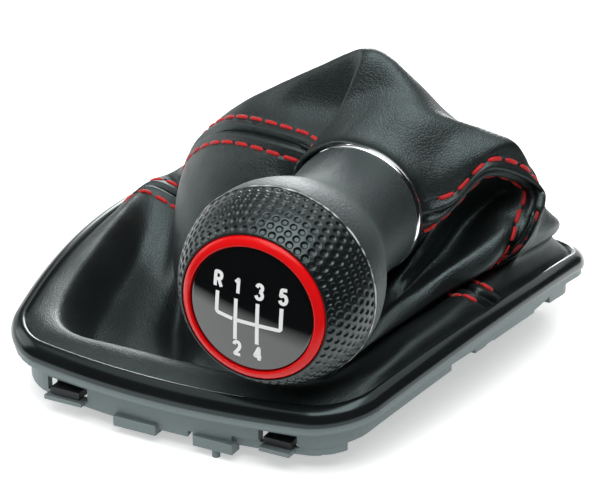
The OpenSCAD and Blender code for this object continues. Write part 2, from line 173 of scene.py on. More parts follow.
def mouldedMaterial(name, look):
    material, tree, shader = newMaterial(name, look["shader"])
    coords = objectCoords(tree)
    patch = noiseNode(tree, look["patchMm"], 3.0, 0.5, coords)
    grain = noiseNode(tree, look["grainMm"], 2.0, 0.6, coords)
    tree.links.new(rampNode(tree, patch.outputs["Fac"], look["colours"]), shader.inputs["Base Color"])
    rough = rangeNode(tree, patch.outputs["Fac"], 0.3, 0.7, *look["roughness"])
    tree.links.new(rough, shader.inputs["Roughness"])
    grained = bumpNode(tree, grain.outputs["Fac"], look["grainDepthMm"], look["bump"])
    tree.links.new(grained, shader.inputs["Normal"])
    return material


coolTint = (0.80, 1.0, 1.0, 1.0)  # the black surfaces mirror a little less red
finishes = {
    "leather": {
        "shader": {"Specular IOR Level": 0.7, "Specular Tint": coolTint},
        "colours": [(0.3, (0.0045, 0.0052, 0.0055)), (0.7, (0.007, 0.008, 0.0083))],
        "roughness": (0.40, 0.48), "grainMm": 0.8, "grainDepthMm": 0.05,
        "creaseMm": 6.0, "creaseDepthMm": 0.13, "patchMm": 24.0},
    "satinPlastic": {
        "shader": {"Specular IOR Level": 0.5, "Specular Tint": coolTint},
        "colours": [(0.3, (0.155, 0.187, 0.187)), (0.7, (0.18, 0.216, 0.216))],
        "roughness": (0.40, 0.50), "grainMm": 0.4, "grainDepthMm": 0.02, "bump": 0.4, "patchMm": 18.0},
    "glossBead": {
        "shader": {"Specular IOR Level": 0.45, "Specular Tint": coolTint},
        "colours": [(0.3, (0.0065, 0.0075, 0.008)), (0.7, (0.009, 0.0105, 0.011))],
        "roughness": (0.16, 0.22), "grainMm": 9.0, "grainDepthMm": 0.03, "bump": 0.35, "patchMm": 30.0},
    "innerPlastic": {
        "shader": {"Specular IOR Level": 0.4},
        "colours": [(0.3, (0.014, 0.015, 0.016)), (0.7, (0.02, 0.021, 0.022))],
        "roughness": (0.50, 0.62), "grainMm": 0.5, "grainDepthMm": 0.02, "bump": 0.4, "patchMm": 14.0},
    "chrome": {
        "shader": {"Metallic": 1.0, "Specular IOR Level": 0.5},
        "colours": [(0.3, (0.80, 0.82, 0.83)), (0.7, (0.86, 0.88, 0.89))],
        "roughness": (0.10, 0.16), "grainMm": 6.0, "grainDepthMm": 0.01, "bump": 0.2, "patchMm": 12.0},
    "softGrip": {
        "shader": {"Specular IOR Level": 0.9, "Specular Tint": coolTint, "Sheen Weight": 0.08,
                   "Sheen Roughness": 0.3, "Sheen Tint": coolTint},
        "colours": [(0.3, (0.012, 0.015, 0.0155)), (0.7, (0.018, 0.022, 0.0225))],
        "roughness": (0.46, 0.52), "grainMm": 0.7, "grainDepthMm": 0.16, "bump": 1.0, "patchMm": 16.0},
    # Part line lip: the pale grey patches in its colour are a painted highlight, standing for light caught
    # along the edge
    "paintedGlintLip": {
        "shader": {"Specular IOR Level": 1.0},
        "colours": [(0.42, (0.03, 0.033, 0.034)), (0.62, (0.55, 0.58, 0.58))],
        "roughness": (0.30, 0.40), "grainMm": 1.4, "grainDepthMm": 0.05, "bump": 0.8, "patchMm": 3.0},
    "beltGrip": {
        "shader": {"Specular IOR Level": 0.6, "Specular Tint": coolTint},
        "colours": [(0.3, (0.0055, 0.0065, 0.007)), (0.7, (0.008, 0.0095, 0.010))],
        "roughness": (0.27, 0.33), "grainMm": 0.5, "grainDepthMm": 0.012, "bump": 0.3, "patchMm": 16.0},
    "redGloss": {
        "shader": {"Specular IOR Level": 0.22},
        "colours": [(0.3, (0.66, 0.003, 0.004)), (0.7, (0.74, 0.004, 0.005))],
        "roughness": (0.18, 0.24), "grainMm": 5.0, "grainDepthMm": 0.01, "bump": 0.2, "patchMm": 10.0},
    "capGloss": {
        "shader": {"Specular IOR Level": 0.6, "Coat Weight": 1.0, "Coat Roughness": 0.02},
        "colours": [(0.3, (0.0035, 0.004, 0.0042)), (0.7, (0.0045, 0.005, 0.0052))],
        "roughness": (0.05, 0.08), "grainMm": 12.0, "grainDepthMm": 0.004, "bump": 0.2, "patchMm": 20.0},
    "gateInk": {
        "shader": {"Specular IOR Level": 0.4},
        "colours": [(0.3, (0.86, 0.87, 0.87)), (0.7, (0.91, 0.92, 0.92))],
        "roughness": (0.35, 0.45), "grainMm": 0.6, "grainDepthMm": 0.005, "bump": 0.2, "patchMm": 6.0},
    "redThread": {
        "shader": {"Specular IOR Level": 0.3, "Sheen Weight": 0.3, "Sheen Roughness": 0.4},
        "colours": [(0.3, (0.40, 0.006, 0.008)), (0.7, (0.58, 0.012, 0.014))],
        "roughness": (0.50, 0.62), "grainMm": 0.35, "grainDepthMm": 0.08, "bump": 0.8, "patchMm": 3.0},
    "bushPlastic": {
        "shader": {"Specular IOR Level": 0.4},
        "colours": [(0.3, (0.27, 0.28, 0.28)), (0.7, (0.32, 0.33, 0.33))],
        "roughness": (0.45, 0.55), "grainMm": 0.6, "grainDepthMm": 0.02, "bump": 0.3, "patchMm": 12.0},
    "clampSteel": {
        "shader": {"Metallic": 1.0},
        "colours": [(0.3, (0.50, 0.51, 0.52)), (0.7, (0.58, 0.59, 0.60))],
        "roughness": (0.28, 0.38), "grainMm": 0.8, "grainDepthMm": 0.02, "bump": 0.4, "patchMm": 8.0},
}
leatherSkin = leatherMaterial(finishes["leather"])
satinPlastic = mouldedMaterial("satinPlastic", finishes["satinPlastic"])
glossBead = mouldedMaterial("glossBead", finishes["glossBead"])
innerPlastic = mouldedMaterial("innerPlastic", finishes["innerPlastic"])
chromePlate = mouldedMaterial("chromePlate", finishes["chrome"])
softGrip = mouldedMaterial("softGrip", finishes["softGrip"])
beltGrip = mouldedMaterial("beltGrip", finishes["beltGrip"])
paintedGlintLip = mouldedMaterial("paintedGlintLip", finishes["paintedGlintLip"])
redGloss = mouldedMaterial("redGloss", finishes["redGloss"])
capGloss = mouldedMaterial("capGloss", finishes["capGloss"])
gateInk = mouldedMaterial("gateInk", finishes["gateInk"])
redThread = mouldedMaterial("redThread", finishes["redThread"])
bushPlastic = mouldedMaterial("bushPlastic", finishes["bushPlastic"])
clampSteel = mouldedMaterial("clampSteel", finishes["clampSteel"])
print("materials made")


# Console frame: the same outline and arch as the solid one, at a finer step

consoleFrame = {
    "length": 142.5, "nearWidth": 106.6, "farWidth": 139.2, "arch": 8.2, "skirtDepth": 12.5, "pegs": 3.2,
    "nearBow": 5.8, "farBow": 2.9, "sideBow": 5.7, "nearCorner": 12.5, "farCorner": 16.3,
    "cornerWeight": 0.75, "steps": {"near": 16, "corner": 28, "side": 72, "far": 20}}


def frameOutline(spec):
    halfLength = spec["length"] / 2
    nearHalf = spec["nearWidth"] / 2
    farHalf = spec["farWidth"] / 2

    def near(x):
        return np.array([x, -halfLength + spec["nearBow"] * (x / nearHalf) ** 2])

    def far(x):
        return np.array([x, halfLength - spec["farBow"] * (x / farHalf) ** 2])

    nearEnd = near(nearHalf)
    run = far(farHalf) - nearEnd
    runLength = np.linalg.norm(run)
    outwards = np.array([run[1], -run[0]]) / runLength

    def side(t):
        return nearEnd + run * t + outwards * spec["sideBow"] * 4 * t * (1 - t)

    def corner(a, c, b, t):
        u = 1 - t
        w = spec["cornerWeight"]
        return (a * u * u + c * 2 * w * t * u + b * t * t) / (u * u + 2 * w * t * u + t * t)

    steps = spec["steps"]
    nearX = nearHalf - spec["nearCorner"]
    farX = farHalf - spec["farCorner"]
    nearT = spec["nearCorner"] / runLength
    farT = 1 - spec["farCorner"] / runLength
    half = [near(nearX * i / steps["near"]) for i in range(steps["near"])]
    half += [corner(near(nearX), nearEnd, side(nearT), i / steps["corner"]) for i in range(steps["corner"])]
    half += [side(nearT + (farT - nearT) * i / steps["side"]) for i in range(steps["side"])]
    half += [corner(side(farT), far(farHalf), far(farX), i / steps["corner"]) for i in range(steps["corner"])]
    half += [far(farX * (1 - i / steps["far"])) for i in range(steps["far"] + 1)]
    left = [np.array([-p[0], p[1]]) for p in half[-2:0:-1]]
    return np.array(half + left)


outline = frameOutline(consoleFrame)
outlineStep = np.linalg.norm(np.roll(outline, -1, 0) - outline, axis=1)
outlineShare = np.concatenate([[0], np.cumsum(outlineStep)]) / outlineStep.sum()
outlineRun = np.roll(outline, -1, 0) - np.roll(outline, 1, 0)
outlineRun /= np.linalg.norm(outlineRun, axis=1)[:, None]
outlineInward = np.stack([-outlineRun[:, 1], outlineRun[:, 0]], 1)
halfLength = consoleFrame["length"] / 2
archRadius = (halfLength ** 2 + consoleFrame["arch"] ** 2) / (2 * consoleFrame["arch"])
archCentre = consoleFrame["pegs"] + consoleFrame["skirtDepth"] + consoleFrame["arch"] - archRadius


def archHeight(y, above):
    return archCentre + np.sqrt((archRadius + above) ** 2 - y * y)


def insetPoint(share, inset):  # a place along the outline, 0 to 1, moved inwards
    ring = outline + outlineInward * inset
    ring = np.vstack([ring, ring[:1]])
    share = np.mod(share, 1.0)
    across = np.interp(share, outlineShare, ring[:, 0])
    along = np.interp(share, outlineShare, ring[:, 1])
    return np.stack([across, along], -1)


bead = {"height": 3.6, "width": 4.5, "foot": -1.0, "steps": 4}


def buildBead(spec):
    h = spec["height"]
    section = smoothProfile(
        [(0.9, spec["foot"]), (0.15, -0.8), (0, 0.2), (0.25, 1.3), (0.9, 2.4), (1.8, h - 0.45), (2.7, h),
         (3.5, h - 0.1), (4.1, h - 0.6), (spec["width"], h - 1.6), (spec["width"], spec["foot"])],
        spec["steps"])
    points = []
    for place, inward in zip(outline, outlineInward):
        for inset, above in section:
            x, y = place + inward * inset
            points.append((x * mm, y * mm, archHeight(y, above) * mm))
    faces = gridFaces(len(outline), len(section), closeRows=True, closeCols=True)
    piece = addObject("trimBeadGloss", meshFrom("trimBeadGloss", points, faces), glossBead)
    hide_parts("trim_bead")
    return piece


buildBead(bead)
print("bead built")


# Knob: profiles are (radius, height), height along the way the cap faces, 0 at the middle of the ball

knob = {"ball": (30.0, -57.8, 50.8), "yaw": 3.7, "dip": 1.3, "ballRadius": 26.4, "neckLength": 46.8,
        "ringRadius": 19.4, "capRadius": 16.9, "chromeRadius": 19.0, "partLine": 2.0, "beltTop": 17.2,
        "turns": 192}
knobPlace = (Matrix.Translation(Vector(knob["ball"]) * mm)
             @ Matrix.Rotation(math.radians(knob["yaw"]), 4, "Z")
             @ Matrix.Rotation(math.radians(90 + knob["dip"]), 4, "X"))


def turned(name, profile, turns, material, node):
    points = []
    for i in range(turns):
        angle = 2 * math.pi * i / turns
        for radius, height in profile:
            local = Vector((radius * math.cos(angle), radius * math.sin(angle), height)) * mm
            points.append(knobPlace @ local)
    faces = gridFaces(turns, len(profile), closeRows=True, closeCols=True, flip=True)
    piece = addObject(name, meshFrom(name, points, faces), material)
    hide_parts(node)
    return piece


def ballArc(radius, low, high, count):
    start = math.asin(low / radius)
    stop = math.asin(high / radius)
    tilts = [start + (stop - start) * i / count for i in range(count + 1)]
    return [(radius * math.cos(tilt), radius * math.sin(tilt)) for tilt in tilts]


dimples = {"diameter": (1.55, 1.95), "depth": 0.36, "pitch": 2.5, "rows": 7, "firstRow": 1.5,
           "lastRow": 1.10, "cell": 0.22, "wall": 1.9, "roundness": 2.4, "rim": 0.05, "rimPlace": 1.12,
           "rimWidth": 0.14, "edgeDrop": 0.10, "edgeReach": 0.35}


def buildGrip(spec):
    radius = knob["ballRadius"]
    low = math.asin(knob["partLine"] / radius)
    high = math.asin(knob["beltTop"] / radius)
    width = (high - low) * radius
    around = int(2 * math.pi * radius / spec["cell"])
    along = int(width / spec["cell"])
    tilt = low + (high - low) * np.arange(along + 1) / along
    turn = 2 * math.pi * np.arange(around) / around
    turnGrid, tiltGrid = np.meshgrid(turn, tilt, indexing="ij")
    sink = np.zeros_like(turnGrid)
    rowGap = (width - spec["firstRow"] - spec["lastRow"]) / (spec["rows"] - 1)
    for row in range(spec["rows"]):
        rowTilt = low + (spec["firstRow"] + rowGap * row) / radius
        ringRadius = radius * math.cos(rowTilt)
        count = int(round(2 * math.pi * ringRadius / spec["pitch"]))
        step = 2 * math.pi / count
        shift = step * (0.5 if row % 2 else 0.0)
        offTurn = np.mod(turnGrid - shift + step / 2, step) - step / 2
        diameter = np.interp(row, (0, spec["rows"] - 1), spec["diameter"])  # wider towards the red ring
        gap = np.hypot(offTurn * ringRadius, (tiltGrid - rowTilt) * radius) / (diameter / 2)
        bowl = np.minimum(1.0, spec["wall"] * (1 - np.minimum(gap, 1) ** spec["roundness"]))
        rim = np.exp(-((gap - spec["rimPlace"]) / spec["rimWidth"]) ** 2) * spec["rim"]
        sink = np.maximum(sink, bowl * spec["depth"]) - np.where(gap >= 1, rim, 0.0)
    # The belt's edge is rounded at the part line
    drop = spec["edgeDrop"] * np.exp(-((tiltGrid - low) * radius / spec["edgeReach"]) ** 2)
    reach = radius - sink - drop
    outer = np.stack([reach * np.cos(tiltGrid), reach * np.sin(tiltGrid)], -1)
    top = knob["beltTop"]
    seat = knob["ringRadius"] + 0.1
    front = [(19.9, top + 0.08), (19.7, top + 0.1), (seat + 0.04, top), (seat, top - 0.25), (seat, top - 2.4)]
    tail = np.array(front + ballArc(radius - 2.4, 13.2, knob["partLine"], 8) + [(25.9, knob["partLine"])])
    profile = np.concatenate([outer, np.broadcast_to(tail, (around, len(tail), 2))], 1)
    x = profile[..., 0] * np.cos(turn)[:, None]
    y = profile[..., 0] * np.sin(turn)[:, None]
    local = np.stack([x, y, profile[..., 1]], -1).reshape(-1, 3) * mm
    place = np.array(knobPlace)
    points = local @ place[:3, :3].T + place[:3, 3]
    faces = gridFaces(around, profile.shape[1], closeRows=True, closeCols=True, flip=True)
    piece = addObject("dimpledGripShell", meshFrom("dimpledGripShell", points, faces), beltGrip)
    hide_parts("dimpled_grip")
    return piece


def buildNeck():
    end = -knob["neckLength"]
    radius = knob["ballRadius"]
    neckRadius = knob["chromeRadius"] - 0.5
    line = knob["partLine"]
    outer = smoothProfile(
        [(24.1, line), (26.2, line), (26.42, line - 0.1), (26.42, line - 0.32), (26.22, line - 0.5)]
        + ballArc(radius, line - 0.9, -6, 5)
        + [(24.7, -9.4), (23.3, -13), (21.5, -16.8), (19.9, -20.4), (18.8, -24), (18.2, -27.8),
           (17.95, -31.6), (17.95, -36.2), (18.1, -40.8), (neckRadius - 0.1, end + 2), (neckRadius, end)], 6)
    inner = [(16, end), (15.7, -31.6), (16.5, -24), (19, -18.3), (21.4, -13.8), (23, -9), (24, -2)]
    profile = list(map(tuple, outer)) + inner
    return turned("neckShell", profile, knob["turns"], softGrip, "neck_cover")


# Thin uneven lip of rubber that the mould leaves between the belt and the neck; its pale grey patches are a
# painted highlight
partLip = {"width": 0.30, "height": 0.17, "wander": 0.10, "steps": 420, "sides": 8}


def buildPartLip(spec):
    points = []
    for i in range(spec["steps"]):
        angle = 2 * math.pi * i / spec["steps"]
        uneven = noise.noise(Vector((math.cos(angle) * 9, math.sin(angle) * 9, 0.5)))
        radius = knob["ballRadius"] - 0.03 + spec["wander"] * uneven
        for k in range(spec["sides"]):
            turn = 2 * math.pi * k / spec["sides"]
            out = radius + spec["height"] * math.cos(turn)
            along = knob["partLine"] - 0.12 + spec["width"] * math.sin(turn) * (1 + 0.5 * uneven)
            points.append(knobPlace @ (Vector((out * math.cos(angle), out * math.sin(angle), along)) * mm))
    faces = gridFaces(spec["steps"], spec["sides"], closeRows=True, closeCols=True, flip=True)
    piece = addObject("partLineLip", meshFrom("partLineLip", points, faces), paintedGlintLip)


def buildChromeRing():
    end = -knob["neckLength"]
    r = knob["chromeRadius"]
    outer = smoothProfile([(r - 1.6, end), (r - 0.7, end), (r - 0.2, end - 0.35), (r, end - 1.1),
                           (r, end - 2), (r - 0.2, end - 2.6), (r - 0.8, end - 3), (r - 1.8, end - 3)], 6)
    profile = [(15.4, end)] + list(map(tuple, outer)) + [(15.4, end - 3)]
    return turned("chromeRingBright", profile, knob["turns"], chromePlate, "chrome_ring")


def buildAccentRing():
    r = knob["ringRadius"]
    q = knob["capRadius"]
    face = smoothProfile([(r, 14.8), (r, 16.7), (r - 0.1, 17.25), (r - 0.45, 17.8), (r - 1.05, 18.3),
                          (r - 1.75, 18.66), (q + 0.4, 18.76), (q + 0.14, 18.6), (q + 0.05, 18.2),
                          (q + 0.05, 14.8)], 6)
    return turned("accentRingRed", list(map(tuple, face)), knob["turns"], redGloss,
                  "accent_ring")


cap = {"edge": 18.1, "rise": 1.4, "roundOff": 0.4, "seat": 16.0}


def capHeight(radius):
    return cap["edge"] + cap["rise"] * (1 - (radius / knob["capRadius"]) ** 2)


def buildCap(spec):  # rings of the dome from the edge inwards, closed by one point in the middle
    q = knob["capRadius"]
    turns = knob["turns"]
    rings = [(q, spec["seat"]), (q, spec["edge"] - 0.5), (q - 0.1, spec["edge"] - 0.12)]
    rings += [(radius, capHeight(radius)) for radius in np.linspace(q - spec["roundOff"], 0.6, 26)]
    points = []
    for radius, height in rings:
        for i in range(turns):
            angle = 2 * math.pi * i / turns
            local = Vector((radius * math.cos(angle), radius * math.sin(angle), height)) * mm
            points.append(knobPlace @ local)
    points += [knobPlace @ (Vector((0, 0, capHeight(0))) * mm),
               knobPlace @ (Vector((0, 0, spec["seat"])) * mm)]
    faces = gridFaces(len(rings), turns, closeCols=True)
    last = (len(rings) - 1) * turns
    faces += [(last + i, last + (i + 1) % turns, len(points) - 2) for i in range(turns)]
    faces += [((i + 1) % turns, i, len(points) - 1) for i in range(turns)]
    piece = addObject("capGlossPlate", meshFrom("capGlossPlate", points, faces), capGloss)
    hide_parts("cap_plate")
    return piece


# Shift pattern: places on the cap in millimetres, x to the right and y up, as the cap is seen from the front
gate = {
    "stroke": 1.0, "lift": 0.035, "turn": -4.2, "markStroke": 0.9, "markSize": (2.95, 4.75),
    "cornerRadius": 0.7, "markCorner": 0.35,
    "lines": [[(-8.75, 4.0), (-9.2, -1.75), (-4.75, -2.85)],
              [(-3.58, 2.85), (-4.3, -8.6)],
              [(2.3, 2.5), (1.68, -8.9)],
              [(-3.75, -3.0), (8.2, -3.9), (8.6, 2.25)]],
    "marks": [("R", -8.5, 7.15), ("1", -3.2, 6.3), ("3", 2.8, 5.75), ("5", 9.1, 5.4),
              ("2", -3.9, -11.1), ("4", 1.8, -11.6)]}
# Each figure is drawn with strokes in a box from -1 to 1
figures = {
    "R": [[(-.8, -1), (-.8, 1), (.2, 1), (.75, .85), (.85, .5), (.7, .15), (.2, 0), (-.8, 0)],
          [(.1, 0), (.9, -1)]],
    "1": [[(-.55, .5), (-.1, .72), (.25, 1), (.25, -1)]],
    "2": [[(-.8, .5), (-.65, .85), (-.1, 1), (.5, .9), (.8, .5), (.6, .05), (-.75, -.95), (.85, -.95)]],
    "3": [[(-.8, .6), (-.5, .92), (0, 1), (.55, .85), (.72, .5), (.5, .15), (0, .05)],
          [(0, .05), (.6, -.1), (.85, -.5), (.6, -.88), (0, -1), (-.55, -.9), (-.85, -.55)]],
    "4": [[(.3, -1), (.3, 1), (-.85, -.42), (.9, -.42)]],
    "5": [[(.75, .95), (-.55, .95), (-.75, .02), (-.1, .22), (.5, .12), (.85, -.35), (.6, -.85),
           (0, -1), (-.55, -.9), (-.85, -.55)]]}


def onCap(x, y, lift):
    return knobPlace @ (Vector((x, y, capHeight(math.hypot(x, y)) + lift)) * mm)


def roundedLine(line, radius):  # the same line with its corners rounded
    pts = [Vector(p) for p in line]
    out = [pts[0]]
    for before, corner, after in zip(pts, pts[1:], pts[2:]):
        reach = min(radius, (corner - before).length * 0.45, (after - corner).length * 0.45)
        start = corner + (before - corner).normalized() * reach
        stop = corner + (after - corner).normalized() * reach
        out += [start.lerp(corner, t).lerp(corner.lerp(stop, t), t) for t in (0, 0.2, 0.4, 0.6, 0.8, 1.0)]
    return out + [pts[-1]]


def inkStroke(line, width, lift, points, faces):  # adds one flat stroke with a thin edge
    dense = []
    for a, b in zip(line, line[1:]):
        count = max(1, int((b - a).length / 0.6))
        dense += [a.lerp(b, i / count) for i in range(count)]
    dense.append(line[-1])
    start = len(points)
    for i, p in enumerate(dense):
        run = (dense[min(i + 1, len(dense) - 1)] - dense[max(i - 1, 0)]).normalized()
        across = Vector((-run.y, run.x)) * width / 2
        a = p + across
        b = p - across
        points += [onCap(a.x, a.y, -0.02), onCap(a.x, a.y, lift),
                   onCap(b.x, b.y, lift), onCap(b.x, b.y, -0.02)]
    faces += [tuple(start + k for k in f) for f in gridFaces(len(dense), 4, closeCols=True)]
    last = start + 4 * (len(dense) - 1)
    faces += [(start + 3, start + 2, start + 1, start), (last, last + 1, last + 2, last + 3)]


def inkPiece(name, strokes, width, lift):
    points = []
    faces = []
    for line in strokes:
        inkStroke(line, width, lift, points, faces)
    piece = addObject(name, meshFrom(name, points, faces, smooth=False), gateInk)


def buildGate(spec):
    lines = [roundedLine(line, spec["cornerRadius"]) for line in spec["lines"]]
    inkPiece("gateLines", lines, spec["stroke"], spec["lift"])
    turn = Matrix.Rotation(math.radians(spec["turn"]), 2)
    wide, tall = spec["markSize"]
    halfWide = (wide - spec["markStroke"]) / 2
    halfTall = (tall - spec["markStroke"]) / 2
    for mark, x, y in spec["marks"]:
        strokes = []
        for i, figure in enumerate(figures[mark]):
            line = [Vector((x, y)) + turn @ Vector((p[0] * halfWide, p[1] * halfTall)) for p in figure]
            strokes.append(roundedLine(line, spec["markCorner"]))
        inkPiece("gateMark" + mark, strokes, spec["markStroke"], spec["lift"] + 0.01)


buildGrip(dimples)
buildNeck()
buildPartLip(partLip)
buildChromeRing()
buildAccentRing()
buildCap(cap)
buildGate(gate)
print("knob built")


# Leather gaiter: the same net as the solid, on which the seams, folds and creases are worked finely

gaiter = {
    "hem": [0.243, 0.262, 0.29, 0.344, 0.425, 0.5, 0.575, 0.602, 0.629, 0.656, 0.7, 0.741, 0.804, 0.86,
            0.922, 0.971, 1.023, 1.073, 1.135, 1.17, 1.2, 1.222, 1.243],
    "net": [
        [(58, 1, 27), (60, 11, 27.5), (62, 24, 28), (61, 50, 26), (34, 61, 24), (5, 62, 24),
         (-26, 61, 24), (-36, 59, 24), (-46, 56, 23.5), (-55, 52, 23), (-61.5, 36, 26),
         (-59.5, 23, 28.5), (-54, -13, 24), (-47, -43, 19), (-36, -56, 18), (-14, -58, 18),
         (14, -58, 18), (36, -57, 19), (49, -45, 21.5), (53, -30, 24.5), (56, -15, 26), (57, -6, 27)],
        [(50.5, 9.5, 24), (54, 15, 26), (63.5, 25, 31), (64, 47, 31), (37, 55, 31), (11, 56, 32),
         (-16, 54, 33), (-26, 52.5, 32.5), (-36, 49.5, 32), (-45, 46, 31), (-55, 33.5, 31),
         (-49, 23, 27), (-45, -8, 18), (-38, -30, 12), (-26, -43, 10), (-8, -46, 10), (18, -46, 10),
         (33, -43, 12), (38, -30, 15.5), (42, -15, 18.5), (45.5, -4, 20.5), (48, 3, 22)],
        [(57.5, 18, 30), (61.5, 14, 32), (64.5, 25, 33.5), (65, 44, 33.5), (39, 51, 36),
         (14.5, 52, 37.5), (-11, 50, 39), (-21, 48.5, 38.5), (-30.5, 46, 37.5), (-39.5, 43, 36),
         (-50.5, 30, 34), (-44, 19, 27.5), (-38.5, -6.5, 15.5), (-32, -22, 10.5), (-20.5, -35.5, 9),
         (-5.5, -40.5, 9.5), (19, -40.5, 10.5), (33, -37.5, 13.5), (41, -26, 19.5), (47, -11, 23.5),
         (52, -0.5, 27), (59.5, 8.5, 31.5)],
        [(64.3, 18.5, 35.5), (66.3, 14, 38), (65.5, 26, 36.5), (65, 41, 35.5), (41, 47, 41),
         (18, 48, 43), (-6, 46, 45), (-15.5, 44.5, 44), (-25, 42.5, 42.5), (-34, 40, 41),
         (-46, 26, 37), (-40, 16, 29), (-33, -1, 14), (-26, -14, 9), (-15, -28, 8), (-3, -35, 9),
         (20, -35, 11), (33, -32, 15), (40, -21, 23.5), (45.5, -8, 28), (51.5, 2, 33), (61, 12.5, 39.5)],
        [(66.3, 21.5, 42), (68.4, 17.3, 44.5), (65.5, 28, 43), (63.5, 35, 41.5), (46, 38, 51),
         (25, 38, 55), (4, 36, 58), (-4.5, 35, 56.5), (-13.5, 33.5, 54.5), (-22, 32, 52),
         (-40, 22, 44), (-41, 15, 39), (-37, 1, 27), (-29, -13, 21), (-18, -25, 15), (-3, -28, 14),
         (22, -26, 15), (34, -24, 20), (40.5, -13, 26), (43, 0, 29), (48.5, 10.5, 33), (57, 18.5, 43)],
        [(65.3, 24, 50), (66.8, 23.5, 51.5), (64.5, 27.5, 50.5), (62, 26.5, 56), (47, 28, 61),
         (30, 27, 67), (13, 25, 73), (6, 24.5, 72), (-2, 23.5, 69), (-11, 22, 65), (-32, 17, 54),
         (-35, 11, 50), (-34, 0, 41), (-24, -13, 33), (-12, -22, 25), (3, -20, 21), (24, -18, 20),
         (35, -15, 25), (41, -6, 29.5), (44, 7, 33), (47, 18, 39), (55, 25.5, 46.5)],
        [(57, 10.5, 58), (58, 12.5, 62), (60.5, 18, 65), (53.5, 18, 67), (45, 18, 67.5),
         (33.5, 15, 78.5), (24, 13.5, 86), (18.8, 12, 87), (12.5, 13.4, 84), (-2, 12, 76),
         (-18, 11, 66), (-20, 3, 60), (-20, -5, 52), (-12, -13, 43), (-3, -16, 33), (9, -13, 27),
         (26, -10, 25), (36, -8, 29), (41, -4.5, 33), (44.5, 3, 37.5), (47, 11, 45), (53, 17, 52.5)],
        [(50.3, 1.5, 50), (50.8, 3, 54), (52.5, 6.5, 62), (48.5, 10, 68.5), (41.5, 8, 73),
         (34.5, 6.5, 76), (25.5, 6, 77), (15.8, 2.5, 72.5), (16.5, 7, 70), (0, 6, 68), (-2, 3, 65.5),
         (-1, -2, 62), (-2, -7, 55), (1, -10, 47), (6, -8, 39), (15, -6, 31), (27, -6, 28),
         (36, -4, 31), (40, -3.5, 34), (43.5, -1.5, 38.5), (45.6, 0, 42), (47.6, 1.5, 46)]],
    "throat": [(-4, 19, -4.5), (6, 18.8, -5), (20, 18.6, -5), (38, 18.6, -5), (58, 18.6, -5),
               (82, 18.6, -5), (108, 19.6, -4.2), (132, 21.2, -2.6), (134.5, 19.8, -4.2),
               (136.5, 19.6, -4.4), (139, 19.6, -4.5), (143, 19.6, -4.6), (168, 19.2, -5),
               (193, 18.6, -5), (218, 18.6, -5), (243, 18.6, -5), (268, 18.6, -5), (290, 18.6, -5),
               (309, 18.6, -5), (324, 18.6, -5), (337, 18.6, -5), (342, 19, -4.8), (356, 19, -4.5)],
    "rim": [(0, 18.2, 0), (8, 18.2, 0), (20, 18.2, 0), (38, 18.2, 0), (60, 18.2, 0), (84, 18.4, 0),
            (110, 20.2, 1.5), (138, 20.4, 4.8), (142, 20.4, 4.2), (144.5, 20.4, 3.8), (147, 20.3, 3.2),
            (151, 20.3, 2.4), (171, 19.6, -0.2), (193, 18.2, 0), (218, 18.2, 0), (243, 18.2, 0),
            (268, 18.2, 0), (290, 18.2, 0), (309, 18.2, 0), (324, 18.2, 0), (337, 18.2, 0),
            (348, 18.2, 0), (360, 18.2, 0)],
    "pockets": [{"columns": (11.0, 11.8, 13.3, 14.5), "rows": (1.9, 2.5, 4.4, 5.7),
                 "push": (1.0, 0.5, -10.5)},
                {"columns": (13.3, 14.5, 15.0, 16.0), "rows": (2.1, 2.7, 4.2, 5.4),
                 "push": (0.5, 1.0, -5.0)}],
    "hemInset": 4.7, "thick": 1.2, "rightSeam": 0, "leftSeam": 11, "fadeRows": (1.2, 0.8),
    "rowSteps": 14, "colSteps": 14, "seamSteps": 40, "seamReach": 0.7}
columnCount = len(gaiter["hem"]) - 1
collarHeight = -knob["neckLength"] - 3.1


def netColumns(t):  # control points of the columns at places t, one row of them per line of the fold
    t = np.atleast_1d(t)
    share = np.interp(t, range(columnCount + 1), gaiter["hem"])
    ring = insetPoint(share, gaiter["hemInset"])
    rows = [np.column_stack([ring, archHeight(ring[:, 1], above)]) for above in (-0.9, 2.4)]
    i = np.floor(t).astype(int)
    f = (t - i)[:, None]
    for row in gaiter["net"]:
        row = np.array(row, float) + [0, 0, consoleFrame["pegs"]]
        rows.append(spline(row[(i - 1) % columnCount], row[i % columnCount], row[(i + 1) % columnCount],
                           row[(i + 2) % columnCount], f))
    place = np.array(knobPlace)
    for line in ("throat", "rim"):
        angle, radius, height = (np.interp(t, range(columnCount + 1), part) for part in zip(*gaiter[line]))
        angle = np.radians(angle)
        local = np.column_stack([radius * np.cos(angle), radius * np.sin(angle), collarHeight + height])
        rows.append(local @ place[:3, :3].T + place[:3, 3] / mm)
    return np.stack(rows, 1)


def leatherSurface(t, r):  # points for every t and r
    columns = netColumns(t)
    count = columns.shape[1]
    r = np.atleast_1d(r)
    i = np.minimum(np.floor(r).astype(int), count - 2)
    f = (r - i)[None, :, None]
    return spline(columns[:, np.maximum(i - 1, 0)], columns[:, i], columns[:, i + 1],
                  columns[:, np.minimum(i + 2, count - 1)], f)


def surfaceNormals(points):  # the first and the last column lie on the same seam
    wrapped = np.concatenate([points[-2:-1], points, points[1:2]], 0)
    across = wrapped[2:] - wrapped[:-2]
    upward = np.gradient(points, axis=1)
    normal = np.cross(across, upward)
    return normal / np.maximum(np.linalg.norm(normal, axis=2), 1e-9)[..., None]


def columnPlaces():
    places = []
    for column in range(columnCount):
        for step in range(gaiter["seamSteps"]):
            t = column + step / gaiter["seamSteps"]
            fromSeam = min(abs(t - s) for s in (gaiter["rightSeam"], gaiter["leftSeam"], columnCount))
            coarse = gaiter["seamSteps"] // gaiter["colSteps"] + 1
            if fromSeam <= gaiter["seamReach"] or step % coarse == 0:
                places.append(t)
    return np.array(places + [columnCount])


